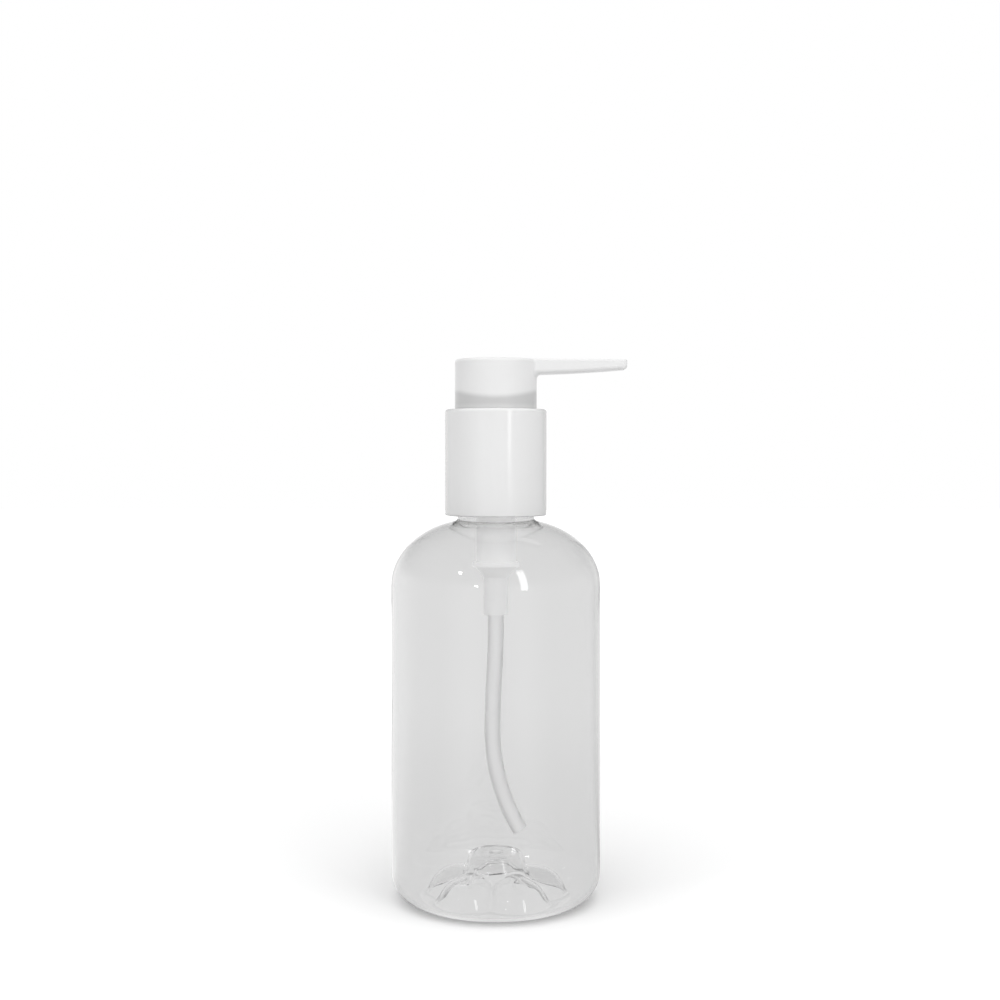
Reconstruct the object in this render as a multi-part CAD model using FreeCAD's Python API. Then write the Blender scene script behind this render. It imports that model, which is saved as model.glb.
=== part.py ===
import FreeCAD, Part
import math
import os

# Pump oil bottle: clear blown bottle, screw collar and press-down lotion pump.
# Millimetres, +Z up, origin on the bottle's axis at the plane it stands on, spout towards +X.

V = FreeCAD.Vector
UP = V(0, 0, 1)

# Clear bottle
BODY_R = 29.7
BODY_WALL = 0.65
HEEL_R = 7.9
SHOULDER_Z = 89.6
SHOULDER_REACH = 23.9
SHOULDER_RISE = 18.75
SHOULDER_THICKENING = 0.35
NECK_R = 10.8
NECK_WALL = 1.3
NECK_LEN = 17.2
NECK_ROOT_FILLET = 0.7
LIP_FILLET = 0.35

# Petal push-up of the base: rounded cones that lean out from a flat-topped dome
PETALS = 5
PETAL_TURN = 85.0
PUSH_UP = 12.5
DOME_R = 7.0
DOME_EDGE = 1.5
PETAL_RISE = 8.5
PETAL_TOP_R = 4.0
PETAL_TOP_OUT = 5.5
PETAL_FOOT_R = 8.6
PETAL_FOOT_SINK = 1.0
STANDING_LAND = 1.7

# Clearances
SEAT_GAP = 0.05
SLIDE_GAP = 0.05
TURN_GAP = 0.1
HEAD_GAP = 0.3
THREAD_GAP = 0.15

# Screw collar: threaded cap inside, smooth sleeve outside
THREAD_DEPTH = 1.05
CAP_WALL = 1.25
CAP_RECESS = 0.6
LEDGE_T = 1.3
SLEEVE_WALL = 1.1
SLEEVE_LIP_T = 1.2
COLLAR_GAP = 1.45
SLEEVE_TOP_FILLET = 0.8
SLEEVE_FOOT_FILLET = 0.4
SLEEVE_LIP_FILLET = 0.3

# Neck seal and pump housing
GASKET_T = 1.0
GASKET_INSET = 0.2
FLANGE_T = 1.1
FLANGE_GAP = 0.5
BARREL_R = 5.7
BARREL_WALL = 0.95
UPSTAND_WALL = 2.85
UPSTAND_RISE = 0.35
BEAD_PROUD = 1.05
BEAD_H = 1.6
BEAD_FILLET = 0.5
BEAD_DROP = 1.0
CONE_H = 3.0
SOCKET_WALL = 1.2
SOCKET_LEN = 10.8
INLET_R = 1.4
INLET_LEN = 2.0
VENT_R = 0.6

# Inlet check ball
BALL_R = 2.0
BALL_ROOM = 0.6
BALL_LIFT = 1.2
BALL_SEAT_DEG = 40.6
BALL_GAP = 0.02
CATCH_RIBS = 4
CATCH_H = 0.6
CATCH_W = 0.8
CATCH_BITE = 0.35
CATCH_GAP = 0.1

# Pump stroke, stem and piston
STROKE = 9.0
LOST_MOTION = 1.0
STEM_R = 3.0
STEM_WALL = 1.25
STEM_SHOULDER_R = 3.9
STEM_SHOULDER_T = 1.1
STEM_FOOT_GAP = 1.4
PISTON_H = 4.2
PISTON_LIP = 0.4
PISTON_LIP_EDGE = 0.24
PISTON_FLARE = 1.4
PISTON_GROOVE = 0.7
CORE_R = 4.0
CORE_T = 1.2
CORE_SHANK = 5.8
CORE_FLUTES = 4
FLUTE_R = 0.55
PILOT_H = 1.2
PILOT_GAP = 0.3

# Return spring
WIRE_R = 0.4
SPRING_R = 3.6
SPRING_TURNS = 7
SPRING_SPARE = 0.6
END_CLOSING = 0.4
ARCS_PER_TURN = 4

# Chaplet: snaps into the housing, holds the collar and guides the stem
CHAPLET_T = 1.0
CHAPLET_LAP = 1.7
CHAPLET_PLUG = 7.8

# Pump head with its flat spout
SKIRT_LAP = 1.4
HEAD_CLEAR = 0.4
HEAD_WALL = 1.2
HEAD_ROOF = 1.4
HEAD_TOP_FILLET = 0.8
HEAD_FOOT_FILLET = 0.3
NOZZLE_GAP = 0.9
NOZZLE_T = 4.2
NOZZLE_TIP_T = 2.8
NOZZLE_REACH = 37.1
NOZZLE_BELLY = 0.25
NOZZLE_W = 9.4
NOZZLE_TIP_W = 6.4
NOZZLE_TIP_ROUND = 1.3
NOZZLE_UNDER_FILLET = 1.1
NOZZLE_TOP_FILLET = 0.5
NOZZLE_ROOT_FILLET = 1.5
NOZZLE_BURIED = 2.0
OUTLET_R = 0.95
RISER_R = 1.5
BOSS_WALL = 1.6
STEM_GRIP = 6.6
DUCT_W = 4.4
DUCT_WALL = 1.0
WEBS = 3
WEB_T = 0.9
WEB_H = 4.6

# Dip tube: drops straight, sways a little to -X, then bends to +X near the base
TUBE_R = 2.25
TUBE_WALL = 0.65
TUBE_FIT = 0.02
TUBE_SWAY = 0.95
TUBE_SWAY_DROP = 30.0
TUBE_BEND_R = 56.0
TUBE_BEND_DEG = 30.6
TUBE_END_Z = 19.5

# Heights and radii that follow from the sizes above
SHOULDER_C = BODY_R - SHOULDER_REACH
NECK_BORE_R = NECK_R - NECK_WALL


def ellipse_height(r, reach, rise):
    """Height above SHOULDER_Z of the shoulder ellipse at radius r."""
    return rise * math.sqrt(1 - ((r - SHOULDER_C) / reach) ** 2)


NECK_ROOT_Z = SHOULDER_Z + ellipse_height(NECK_R, SHOULDER_REACH, SHOULDER_RISE)
MOUTH_Z = NECK_ROOT_Z + NECK_LEN
STANDING_R = BODY_R - HEEL_R - STANDING_LAND
PETAL_FOOT_OUT = STANDING_R - math.sqrt(PETAL_FOOT_R ** 2 - PETAL_FOOT_SINK ** 2)

CAP_R_IN = NECK_R + THREAD_DEPTH + THREAD_GAP
CAP_R = CAP_R_IN + CAP_WALL
SLEEVE_R_IN = CAP_R + SEAT_GAP
SLEEVE_R = SLEEVE_R_IN + SLEEVE_WALL
HEAD_R = CAP_R_IN - HEAD_CLEAR
FLANGE_R = CAP_R_IN - FLANGE_GAP

GASKET_Z = MOUTH_Z + SEAT_GAP
FLANGE_Z = GASKET_Z + GASKET_T
FLANGE_TOP_Z = FLANGE_Z + FLANGE_T
LEDGE_Z = FLANGE_TOP_Z + TURN_GAP
LEDGE_TOP_Z = LEDGE_Z + LEDGE_T
UPSTAND_TOP_Z = LEDGE_TOP_Z + UPSTAND_RISE
CHAPLET_Z = UPSTAND_TOP_Z + SEAT_GAP
CHAPLET_TOP_Z = CHAPLET_Z + CHAPLET_T
CHAPLET_FOOT_Z = CHAPLET_Z - CHAPLET_PLUG

BARREL_BORE_R = BARREL_R - BARREL_WALL
UPSTAND_R = BARREL_BORE_R + UPSTAND_WALL
LEDGE_BORE_R = UPSTAND_R + HEAD_GAP
CHAPLET_R = LEDGE_BORE_R + CHAPLET_LAP

STEM_BORE_R = STEM_R - STEM_WALL
STEM_SHOULDER_TOP_Z = CHAPLET_FOOT_Z - SEAT_GAP
STEM_SHOULDER_Z = STEM_SHOULDER_TOP_Z - STEM_SHOULDER_T
PISTON_Z = STEM_SHOULDER_Z - LOST_MOTION - TURN_GAP - PISTON_H
CORE_TOP_Z = PISTON_Z - SEAT_GAP
CORE_Z = CORE_TOP_Z - CORE_T
STEM_FOOT_Z = CORE_TOP_Z + STEM_FOOT_GAP

SPRING_SOLID = (SPRING_TURNS + 1) * 2 * WIRE_R
SPRING_SEAT_Z = CORE_Z - SPRING_SOLID - STROKE - SPRING_SPARE
CATCH_Z = SPRING_SEAT_Z - CATCH_H
BALL_Z = CATCH_Z - CATCH_GAP - BALL_LIFT - BALL_R
BALL_ROOM_R = BALL_R + BALL_ROOM

SOCKET_BORE_R = TUBE_R + TUBE_FIT
SOCKET_R = SOCKET_BORE_R + SOCKET_WALL
BEAD_TOP_Z = SPRING_SEAT_Z - BEAD_DROP
BEAD_Z = BEAD_TOP_Z - BEAD_H
SOCKET_TOP_Z = BEAD_Z - CONE_H
SOCKET_Z = SOCKET_TOP_Z - SOCKET_LEN

HEAD_Z = LEDGE_TOP_Z + HEAD_GAP + STROKE
SLEEVE_Z = NECK_ROOT_Z + COLLAR_GAP
SLEEVE_TOP_Z = HEAD_Z + SKIRT_LAP
HEAD_TOP_Z = SLEEVE_TOP_Z + STROKE + NOZZLE_GAP + NOZZLE_T
BOSS_R = STEM_R + BOSS_WALL
BOSS_Z = CHAPLET_TOP_Z + HEAD_GAP + STROKE
STEM_TOP_Z = BOSS_Z + STEM_GRIP
CEILING_Z = HEAD_TOP_Z - HEAD_ROOF


def turned(outline):
    """Solid of revolution about Z from a closed list of (radius, height) corners."""
    corners = [V(r, 0, z) for r, z in outline]
    face = Part.Face(Part.makePolygon(corners + corners[:1]))
    return face.revolve(V(0, 0, 0), UP, 360)


def turned_edges(edges):
    """Solid of revolution about Z from edges that close a loop in the XZ plane."""
    face = Part.Face(Part.Wire(Part.__sortEdges__(edges)))
    return face.revolve(V(0, 0, 0), UP, 360)


def cylinder(r, z_low, z_high):
    return Part.makeCylinder(r, z_high - z_low, V(0, 0, z_low))


def ring(r_in, r_out, z_low, z_high):
    return cylinder(r_out, z_low, z_high).cut(cylinder(r_in, z_low, z_high))


def block(x_low, x_high, width, z_low, z_high):
    return Part.makeBox(x_high - x_low, width, z_high - z_low, V(x_low, -width / 2, z_low))


def around(shape, count, first_deg=0.0):
    """Copies of a shape, evenly spaced about Z and fused."""
    copies = []
    for i in range(count):
        copy = shape.copy()
        copy.rotate(V(0, 0, 0), UP, first_deg + 360.0 * i / count)
        copies.append(copy)
    return copies[0].multiFuse(copies[1:])


def circles_at(shape, r, z):
    """The circular edges of a shape at one radius and height on the Z axis."""
    near = 1e-3
    return [
        e for e in shape.Edges
        if isinstance(e.Curve, Part.Circle)
        and abs(e.Curve.Radius - r) < near
        and abs(e.Curve.Center.z - z) < near
        and math.hypot(e.Curve.Center.x, e.Curve.Center.y) < near
    ]


def line(a, b):
    return Part.LineSegment(V(a[0], 0, a[1]), V(b[0], 0, b[1])).toShape()


def bottle_blank(wall, thickening, neck_r, base_z, top_z):
    """The bottle's filled outline, set in by a wall: heel arc, straight wall, elliptical shoulder, neck."""
    side_r = BODY_R - wall
    heel = HEEL_R - wall
    heel_c = V(BODY_R - HEEL_R, 0, HEEL_R)
    half = math.sqrt(0.5) * heel
    reach = SHOULDER_REACH - wall
    rise = SHOULDER_RISE - wall - thickening
    centre = V(SHOULDER_C, 0, SHOULDER_Z)
    ellipse = Part.Ellipse(centre + V(reach, 0, 0), centre + V(0, 0, rise), centre)
    end = math.acos((neck_r - SHOULDER_C) / reach)
    root_z = SHOULDER_Z + ellipse_height(neck_r, reach, rise)
    heel_arc = Part.Arc(
        V(heel_c.x, 0, base_z), heel_c + V(half, 0, -half), V(side_r, 0, HEEL_R)
    ).toShape()
    shoulder = Part.ArcOfEllipse(ellipse, 0, end).toShape()
    return turned_edges([
        line((0, base_z), (heel_c.x, base_z)),
        heel_arc,
        line((side_r, HEEL_R), (side_r, SHOULDER_Z)),
        shoulder,
        line((neck_r, root_z), (neck_r, top_z)),
        line((neck_r, top_z), (0, top_z)),
        line((0, top_z), (0, base_z)),
    ])


def petal(grow):
    """One leaning rounded cone: two spheres and the cone tangent to both, grown by an offset."""
    top = V(PETAL_TOP_OUT, 0, PETAL_RISE - PETAL_TOP_R)
    foot = V(PETAL_FOOT_OUT, 0, -PETAL_FOOT_SINK)
    r_top = PETAL_TOP_R + grow
    r_foot = PETAL_FOOT_R + grow
    length = (top - foot).Length
    slope = (r_foot - r_top) / length
    across = math.sqrt(1 - slope ** 2)

    def tangent_point(z, r):
        return V(r * across, 0, z + r * slope)

    def arc(z, r, start, end):
        mid = (start + end) / 2
        return Part.Arc(V(r * math.cos(start), 0, z + r * math.sin(start)),
                        V(r * math.cos(mid), 0, z + r * math.sin(mid)),
                        V(r * math.cos(end), 0, z + r * math.sin(end))).toShape()

    lean = math.asin(slope)
    low, high = tangent_point(0, r_foot), tangent_point(length, r_top)
    solid = turned_edges([
        arc(0, r_foot, -math.pi / 2, lean),
        Part.LineSegment(low, high).toShape(),
        arc(length, r_top, lean, math.pi / 2),
        line((0, length + r_top), (0, -r_foot)),
    ])
    solid.Placement = FreeCAD.Placement(foot, FreeCAD.Rotation(UP, top - foot))
    return solid


def push_up(grow):
    """The base's raised middle: petals and a dome whose foot reaches where they meet, grown by an offset."""
    meet_r = PETAL_FOOT_OUT * math.cos(math.pi / PETALS) + grow
    top_r, top_z = DOME_R + grow, PUSH_UP + grow
    dome = turned([(0, -PETAL_FOOT_R), (meet_r, -PETAL_FOOT_R), (meet_r, 0), (top_r, top_z), (0, top_z)])
    dome = dome.makeFillet(DOME_EDGE + grow, circles_at(dome, top_r, top_z))
    petals = around(petal(grow), PETALS, PETAL_TURN)
    return dome.fuse(petals).removeSplitter()


def bottle():
    outer = bottle_blank(0, 0, NECK_R, 0, MOUTH_Z)
    outer = outer.makeFillet(NECK_ROOT_FILLET, circles_at(outer, NECK_R, NECK_ROOT_Z))
    outer = outer.makeFillet(LIP_FILLET, circles_at(outer, NECK_R, MOUTH_Z))
    inner = bottle_blank(BODY_WALL, SHOULDER_THICKENING, NECK_BORE_R, BODY_WALL, MOUTH_Z)
    outer = outer.cut(push_up(0))
    inner = inner.cut(push_up(BODY_WALL))
    return outer.cut(inner)


def threaded_cap():
    foot_z = SLEEVE_Z + CAP_RECESS
    top_z = SLEEVE_TOP_Z - SLEEVE_LIP_T - SEAT_GAP
    return turned([
        (CAP_R_IN, foot_z), (CAP_R, foot_z), (CAP_R, top_z), (CAP_R_IN, top_z),
        (CAP_R_IN, LEDGE_TOP_Z), (LEDGE_BORE_R, LEDGE_TOP_Z), (LEDGE_BORE_R, LEDGE_Z), (CAP_R_IN, LEDGE_Z),
    ])


def collar_sleeve():
    lip_r = HEAD_R + HEAD_GAP
    lip_z = SLEEVE_TOP_Z - SLEEVE_LIP_T
    sleeve = turned([
        (SLEEVE_R_IN, SLEEVE_Z), (SLEEVE_R, SLEEVE_Z), (SLEEVE_R, SLEEVE_TOP_Z), (lip_r, SLEEVE_TOP_Z),
        (lip_r, lip_z), (SLEEVE_R_IN, lip_z),
    ])
    sleeve = sleeve.makeFillet(SLEEVE_TOP_FILLET, circles_at(sleeve, SLEEVE_R, SLEEVE_TOP_Z))
    sleeve = sleeve.makeFillet(SLEEVE_FOOT_FILLET, circles_at(sleeve, SLEEVE_R, SLEEVE_Z))
    return sleeve.makeFillet(SLEEVE_LIP_FILLET, circles_at(sleeve, lip_r, SLEEVE_TOP_Z))


def gasket():
    return ring(NECK_BORE_R - GASKET_INSET, FLANGE_R, GASKET_Z, FLANGE_Z)


def ball_seat_z(r):
    """Height of the conical ball seat at a radius, tangent to the resting ball."""
    half_angle = math.radians(BALL_SEAT_DEG)
    touch = BALL_R + BALL_GAP
    return BALL_Z + (r * math.cos(half_angle) - touch) / math.sin(half_angle)


def catch_ribs():
    """Small ribs over the ball room that keep the ball below the spring."""
    tip_r = BALL_R - CATCH_BITE
    rib = block(tip_r, BALL_ROOM_R + CATCH_W, CATCH_W, CATCH_Z, SPRING_SEAT_Z)
    return around(rib, CATCH_RIBS)


def pump_housing():
    inlet_z = ball_seat_z(INLET_R)
    bead_r = BARREL_R + BEAD_PROUD
    body = turned([
        (SOCKET_BORE_R, SOCKET_Z), (SOCKET_R, SOCKET_Z), (SOCKET_R, SOCKET_TOP_Z), (BARREL_R, BEAD_Z),
        (bead_r, BEAD_Z), (bead_r, BEAD_TOP_Z), (BARREL_R, BEAD_TOP_Z), (BARREL_R, FLANGE_Z),
        (FLANGE_R, FLANGE_Z), (FLANGE_R, FLANGE_TOP_Z), (UPSTAND_R, FLANGE_TOP_Z), (UPSTAND_R, UPSTAND_TOP_Z),
        (BARREL_BORE_R, UPSTAND_TOP_Z), (BARREL_BORE_R, SPRING_SEAT_Z), (BALL_ROOM_R, SPRING_SEAT_Z),
        (BALL_ROOM_R, ball_seat_z(BALL_ROOM_R)), (INLET_R, inlet_z), (INLET_R, inlet_z - INLET_LEN),
        (SOCKET_BORE_R, inlet_z - INLET_LEN),
    ])
    bead_edges = circles_at(body, bead_r, BEAD_Z) + circles_at(body, bead_r, BEAD_TOP_Z)
    body = body.makeFillet(BEAD_FILLET, bead_edges)
    vent_z = (PISTON_Z + PISTON_H + PISTON_LIP + CHAPLET_FOOT_Z) / 2
    vent_start = V(0, BARREL_BORE_R - BARREL_WALL / 2, vent_z)
    vent = Part.makeCylinder(VENT_R, 2 * BARREL_WALL, vent_start, V(0, 1, 0))
    return body.fuse(catch_ribs()).removeSplitter().cut(vent)


def inlet_ball():
    return Part.makeSphere(BALL_R, V(0, 0, BALL_Z))


def chaplet():
    bore_r = STEM_R + SLIDE_GAP
    plug_r = BARREL_BORE_R - SLIDE_GAP
    return turned([
        (bore_r, CHAPLET_FOOT_Z), (plug_r, CHAPLET_FOOT_Z), (plug_r, CHAPLET_Z), (CHAPLET_R, CHAPLET_Z),
        (CHAPLET_R, CHAPLET_TOP_Z), (bore_r, CHAPLET_TOP_Z),
    ])


def stem():
    return turned([
        (STEM_BORE_R, STEM_FOOT_Z), (STEM_R, STEM_FOOT_Z), (STEM_R, STEM_SHOULDER_Z),
        (STEM_SHOULDER_R, STEM_SHOULDER_Z), (STEM_SHOULDER_R, STEM_SHOULDER_TOP_Z),
        (STEM_R, STEM_SHOULDER_TOP_Z), (STEM_R, STEM_TOP_Z), (STEM_BORE_R, STEM_TOP_Z),
    ])


def piston():
    """Soft piston: a sleeve on the stem with a lip seal up and a lip seal down."""
    bore_r = STEM_R + SLIDE_GAP
    lip_r = BARREL_BORE_R - SLIDE_GAP
    lip_in = lip_r - PISTON_LIP_EDGE
    waist_r = lip_r - PISTON_LIP
    top = PISTON_Z + PISTON_H
    groove_r = (bore_r + lip_r) / 2
    return turned([
        (bore_r, PISTON_Z), (groove_r, PISTON_Z), (groove_r, PISTON_Z + PISTON_GROOVE), (lip_in, PISTON_Z),
        (lip_r, PISTON_Z), (lip_r, PISTON_Z + PISTON_LIP), (waist_r, PISTON_Z + PISTON_FLARE),
        (waist_r, top - PISTON_FLARE), (lip_r, top), (lip_r, top + PISTON_LIP), (lip_in, top + PISTON_LIP),
        (groove_r, top - PISTON_GROOVE), (groove_r, top), (bore_r, top),
    ])


def piston_core():
    """Plug in the stem's foot: the valve seat under the piston, fluted so that liquid can pass."""
    pilot_r = SPRING_R - WIRE_R - PILOT_GAP
    shank_r = STEM_BORE_R - SLIDE_GAP
    shank_top = CORE_TOP_Z + CORE_SHANK
    core = turned([
        (0, CORE_Z - PILOT_H), (pilot_r, CORE_Z - PILOT_H), (pilot_r, CORE_Z), (CORE_R, CORE_Z),
        (CORE_R, CORE_TOP_Z), (shank_r, CORE_TOP_Z), (shank_r, shank_top), (0, shank_top),
    ])
    flute = Part.makeCylinder(FLUTE_R, CORE_SHANK, V(shank_r, 0, CORE_TOP_Z))
    return core.cut(around(flute, CORE_FLUTES))


def tangent_arc(start, heading, end):
    """Arc from start to end that leaves start along a unit heading."""
    chord = end - start
    angle = heading.getAngle(chord)
    corner = start + heading * (chord.Length / 2 / math.cos(angle))
    middle = (start + end) / 2
    rise = math.tan(angle / 2) / math.tan(angle)
    return Part.Arc(start, middle + (corner - middle) * rise, end).toShape()


def biarc(start, heading, end, end_heading):
    """Two arcs that join two points and keep the headings at both."""
    gap = end - start
    turn = 1 - heading.dot(end_heading)
    along = gap.dot(heading + end_heading)
    reach = (-along + math.sqrt(along ** 2 + 2 * turn * gap.dot(gap))) / (2 * turn)
    joint = (start + heading * reach + end - end_heading * reach) / 2
    back = tangent_arc(end, end_heading * -1, joint)
    return [tangent_arc(start, heading, joint), back]


def spring_point(u, low_z, height):
    """Point of the helix at share u of its turns, with the end turns drawn together."""
    angle = 2 * math.pi * SPRING_TURNS * u
    z = low_z + height * (u - END_CLOSING * math.sin(2 * math.pi * u) / (2 * math.pi))
    return V(SPRING_R * math.cos(angle), SPRING_R * math.sin(angle), z)


def spring_heading(u, height):
    angle = 2 * math.pi * SPRING_TURNS * u
    around_rate = 2 * math.pi * SPRING_TURNS * SPRING_R
    climb = height * (1 - END_CLOSING * math.cos(2 * math.pi * u))
    return V(-around_rate * math.sin(angle), around_rate * math.cos(angle), climb).normalize()


def least_turn_gap(low_z, height):
    """Smallest clear space between neighbouring turns, measured on points."""
    steps = 40
    share = 1.0 / SPRING_TURNS
    gaps = []
    for i in range(steps + 1):
        u = (1 - share) * i / steps
        gaps.append((spring_point(u + share, low_z, height) - spring_point(u, low_z, height)).Length)
    return min(gaps) - 2 * WIRE_R


def return_spring():
    low_z = SPRING_SEAT_Z + WIRE_R + SEAT_GAP
    height = CORE_Z - WIRE_R - SEAT_GAP - low_z
    count = SPRING_TURNS * ARCS_PER_TURN
    edges = []
    for i in range(count):
        u, v = i / count, (i + 1) / count
        edges += biarc(spring_point(u, low_z, height), spring_heading(u, height),
                       spring_point(v, low_z, height), spring_heading(v, height))
    path = Part.Wire(Part.__sortEdges__(edges))
    section = Part.Wire(Part.makeCircle(WIRE_R, spring_point(0, low_z, height), spring_heading(0, height)))
    print("spring: least gap between turns %.2f mm" % least_turn_gap(low_z, height))
    return swept(section, path, "spring", math.pi * WIRE_R ** 2)


def swept(section, path, name, area):
    """Closed solid of a section carried along a path; prints its volume against area times length."""
    shell = Part.BRepOffsetAPI.MakePipeShell(path)
    shell.add(section)
    shell.build()
    shell.makeSolid()
    solid = shell.shape()
    print("%s: volume %.1f, section times length %.1f" % (name, solid.Volume, area * path.Length))
    return solid


def tube_path():
    """Dip tube route: a drop, two long arcs that sway to -X, then one bend to +X."""
    bend = math.radians(TUBE_BEND_DEG)
    bend_top_z = TUBE_END_Z + TUBE_BEND_R * math.sin(bend)
    sway_top_z = bend_top_z + TUBE_SWAY_DROP
    top = V(0, 0, ball_seat_z(INLET_R) - INLET_LEN - SEAT_GAP)
    sway_top = V(0, 0, sway_top_z)
    sway_mid = V(-TUBE_SWAY / 2, 0, bend_top_z + TUBE_SWAY_DROP / 2)
    sway_foot = V(-TUBE_SWAY, 0, bend_top_z)
    end = V(TUBE_BEND_R * (1 - math.cos(bend)) - TUBE_SWAY, 0, TUBE_END_Z)
    edges = [
        Part.LineSegment(top, sway_top).toShape(),
        tangent_arc(sway_top, UP * -1, sway_mid),
        tangent_arc(sway_foot, UP, sway_mid),
        tangent_arc(sway_foot, UP * -1, end),
    ]
    print("dip tube: arc radii %s" % ["%.0f" % e.Curve.Radius for e in edges[1:]])
    return Part.Wire(Part.__sortEdges__(edges)), top


def dip_tube():
    path, top = tube_path()
    bore_r = TUBE_R - TUBE_WALL
    outer = swept(Part.Wire(Part.makeCircle(TUBE_R, top, UP)), path, "tube", math.pi * TUBE_R ** 2)
    bore = swept(Part.Wire(Part.makeCircle(bore_r, top, UP)), path, "tube bore", math.pi * bore_r ** 2)
    return outer.cut(bore)


def nozzle():
    """Flat spout: a side outline with a bellied underside, crossed with a tapered plan outline."""
    root_z = HEAD_TOP_Z - NOZZLE_T
    tip_z = HEAD_TOP_Z - NOZZLE_TIP_T
    root_x = HEAD_R - NOZZLE_BURIED
    mid = V((root_x + NOZZLE_REACH) / 2, 0, (root_z + tip_z) / 2 - NOZZLE_BELLY)
    start, tip = V(root_x, 0, root_z), V(NOZZLE_REACH, 0, tip_z)
    side = Part.Face(Part.Wire([
        Part.Arc(start, mid, tip).toShape(),
        line((NOZZLE_REACH, tip_z), (NOZZLE_REACH, HEAD_TOP_Z)),
        line((NOZZLE_REACH, HEAD_TOP_Z), (root_x, HEAD_TOP_Z)),
        line((root_x, HEAD_TOP_Z), (root_x, root_z)),
    ]))
    side.translate(V(0, -NOZZLE_W, 0))
    half, tip_half = NOZZLE_W / 2, NOZZLE_TIP_W / 2
    plan = Part.Face(Part.makePolygon([
        V(root_x, -half, root_z - NOZZLE_T), V(NOZZLE_REACH, -tip_half, root_z - NOZZLE_T),
        V(NOZZLE_REACH, tip_half, root_z - NOZZLE_T), V(root_x, half, root_z - NOZZLE_T),
        V(root_x, -half, root_z - NOZZLE_T),
    ]))
    solid = side.extrude(V(0, 2 * NOZZLE_W, 0)).common(plan.extrude(V(0, 0, 3 * NOZZLE_T)))
    near = 1e-3
    upright = [e for e in solid.Edges if all(abs(v.X - NOZZLE_REACH) < near for v in e.Vertexes)
               and abs(e.Vertexes[0].Y - e.Vertexes[1].Y) < near]
    solid = solid.makeFillet(NOZZLE_TIP_ROUND, upright)
    under = [e for e in solid.Edges if under_edge(e, root_x)]
    solid = solid.makeFillet(NOZZLE_UNDER_FILLET, under)
    top = [e for e in solid.Edges if all(abs(v.Z - HEAD_TOP_Z) < near for v in e.Vertexes)
           and e.BoundBox.XMax > root_x + near]
    return solid.makeFillet(NOZZLE_TOP_FILLET, top)


def under_edge(edge, root_x):
    """True for the spout's lower edges, along both sides and across the tip."""
    below = edge.BoundBox.ZMax < HEAD_TOP_Z - NOZZLE_TIP_T / 2
    return below and edge.BoundBox.XMax > root_x + NOZZLE_BURIED


def head_hollow():
    """Space under the head's roof: open at the foot, with the stem boss, duct and webs left standing."""
    hollow = cylinder(HEAD_R - HEAD_WALL, HEAD_Z, CEILING_Z).cut(cylinder(BOSS_R, BOSS_Z, CEILING_Z))
    duct_z = HEAD_TOP_Z - NOZZLE_T / 2 - OUTLET_R - DUCT_WALL
    hollow = hollow.cut(block(0, HEAD_R, DUCT_W, duct_z, CEILING_Z))
    web = block(0, HEAD_R, WEB_T, CEILING_Z - WEB_H, CEILING_Z)
    return hollow.cut(around(web, WEBS + 1))


def head_channel():
    """Stem socket, riser and the outlet that runs out along the spout."""
    socket = cylinder(STEM_R + TUBE_FIT, BOSS_Z, STEM_TOP_Z + SEAT_GAP)
    duct_start = V(0, 0, HEAD_TOP_Z - NOZZLE_T / 2)
    duct_end = V(NOZZLE_REACH, 0, HEAD_TOP_Z - NOZZLE_TIP_T / 2)
    run = duct_end - duct_start
    outlet = Part.makeCylinder(OUTLET_R, run.Length + NOZZLE_TIP_T, duct_start, run)
    riser = cylinder(RISER_R, STEM_TOP_Z, duct_start.z + OUTLET_R)
    return socket.fuse(riser).fuse(outlet)


def nozzle_root(head):
    """The edges where the spout leaves the side of the head."""
    near = 0.02
    root = []
    for edge in head.Edges:
        if edge.Degenerated:
            continue
        middle = edge.valueAt((edge.FirstParameter + edge.LastParameter) / 2)
        on_side = abs(math.hypot(middle.x, middle.y) - HEAD_R) < near and middle.x > 0
        if on_side and middle.z > HEAD_TOP_Z - NOZZLE_T - near:
            root.append(edge)
    return root


def pump_head():
    head = cylinder(HEAD_R, HEAD_Z, HEAD_TOP_Z)
    head = head.makeFillet(HEAD_TOP_FILLET, circles_at(head, HEAD_R, HEAD_TOP_Z))
    head = head.makeFillet(HEAD_FOOT_FILLET, circles_at(head, HEAD_R, HEAD_Z))
    head = head.fuse(nozzle()).removeSplitter()
    head = head.makeFillet(NOZZLE_ROOT_FILLET, nozzle_root(head))
    return head.cut(head_hollow()).cut(head_channel())


PIECES = {
    "bottle": bottle,
    "threaded_cap": threaded_cap,
    "collar_sleeve": collar_sleeve,
    "neck_gasket": gasket,
    "pump_housing": pump_housing,
    "inlet_ball": inlet_ball,
    "return_spring": return_spring,
    "piston_core": piston_core,
    "piston": piston,
    "stem": stem,
    "chaplet": chaplet,
    "dip_tube": dip_tube,
    "pump_head": pump_head,
}

os.makedirs("parts", exist_ok=True)
for name, make in PIECES.items():
    shape = make()
    print("%-14s solids %d valid %s volume %.1f" % (name, len(shape.Solids), shape.isValid(), shape.Volume))
    shape.exportStep("parts/%s.step" % name)
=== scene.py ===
import math

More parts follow.
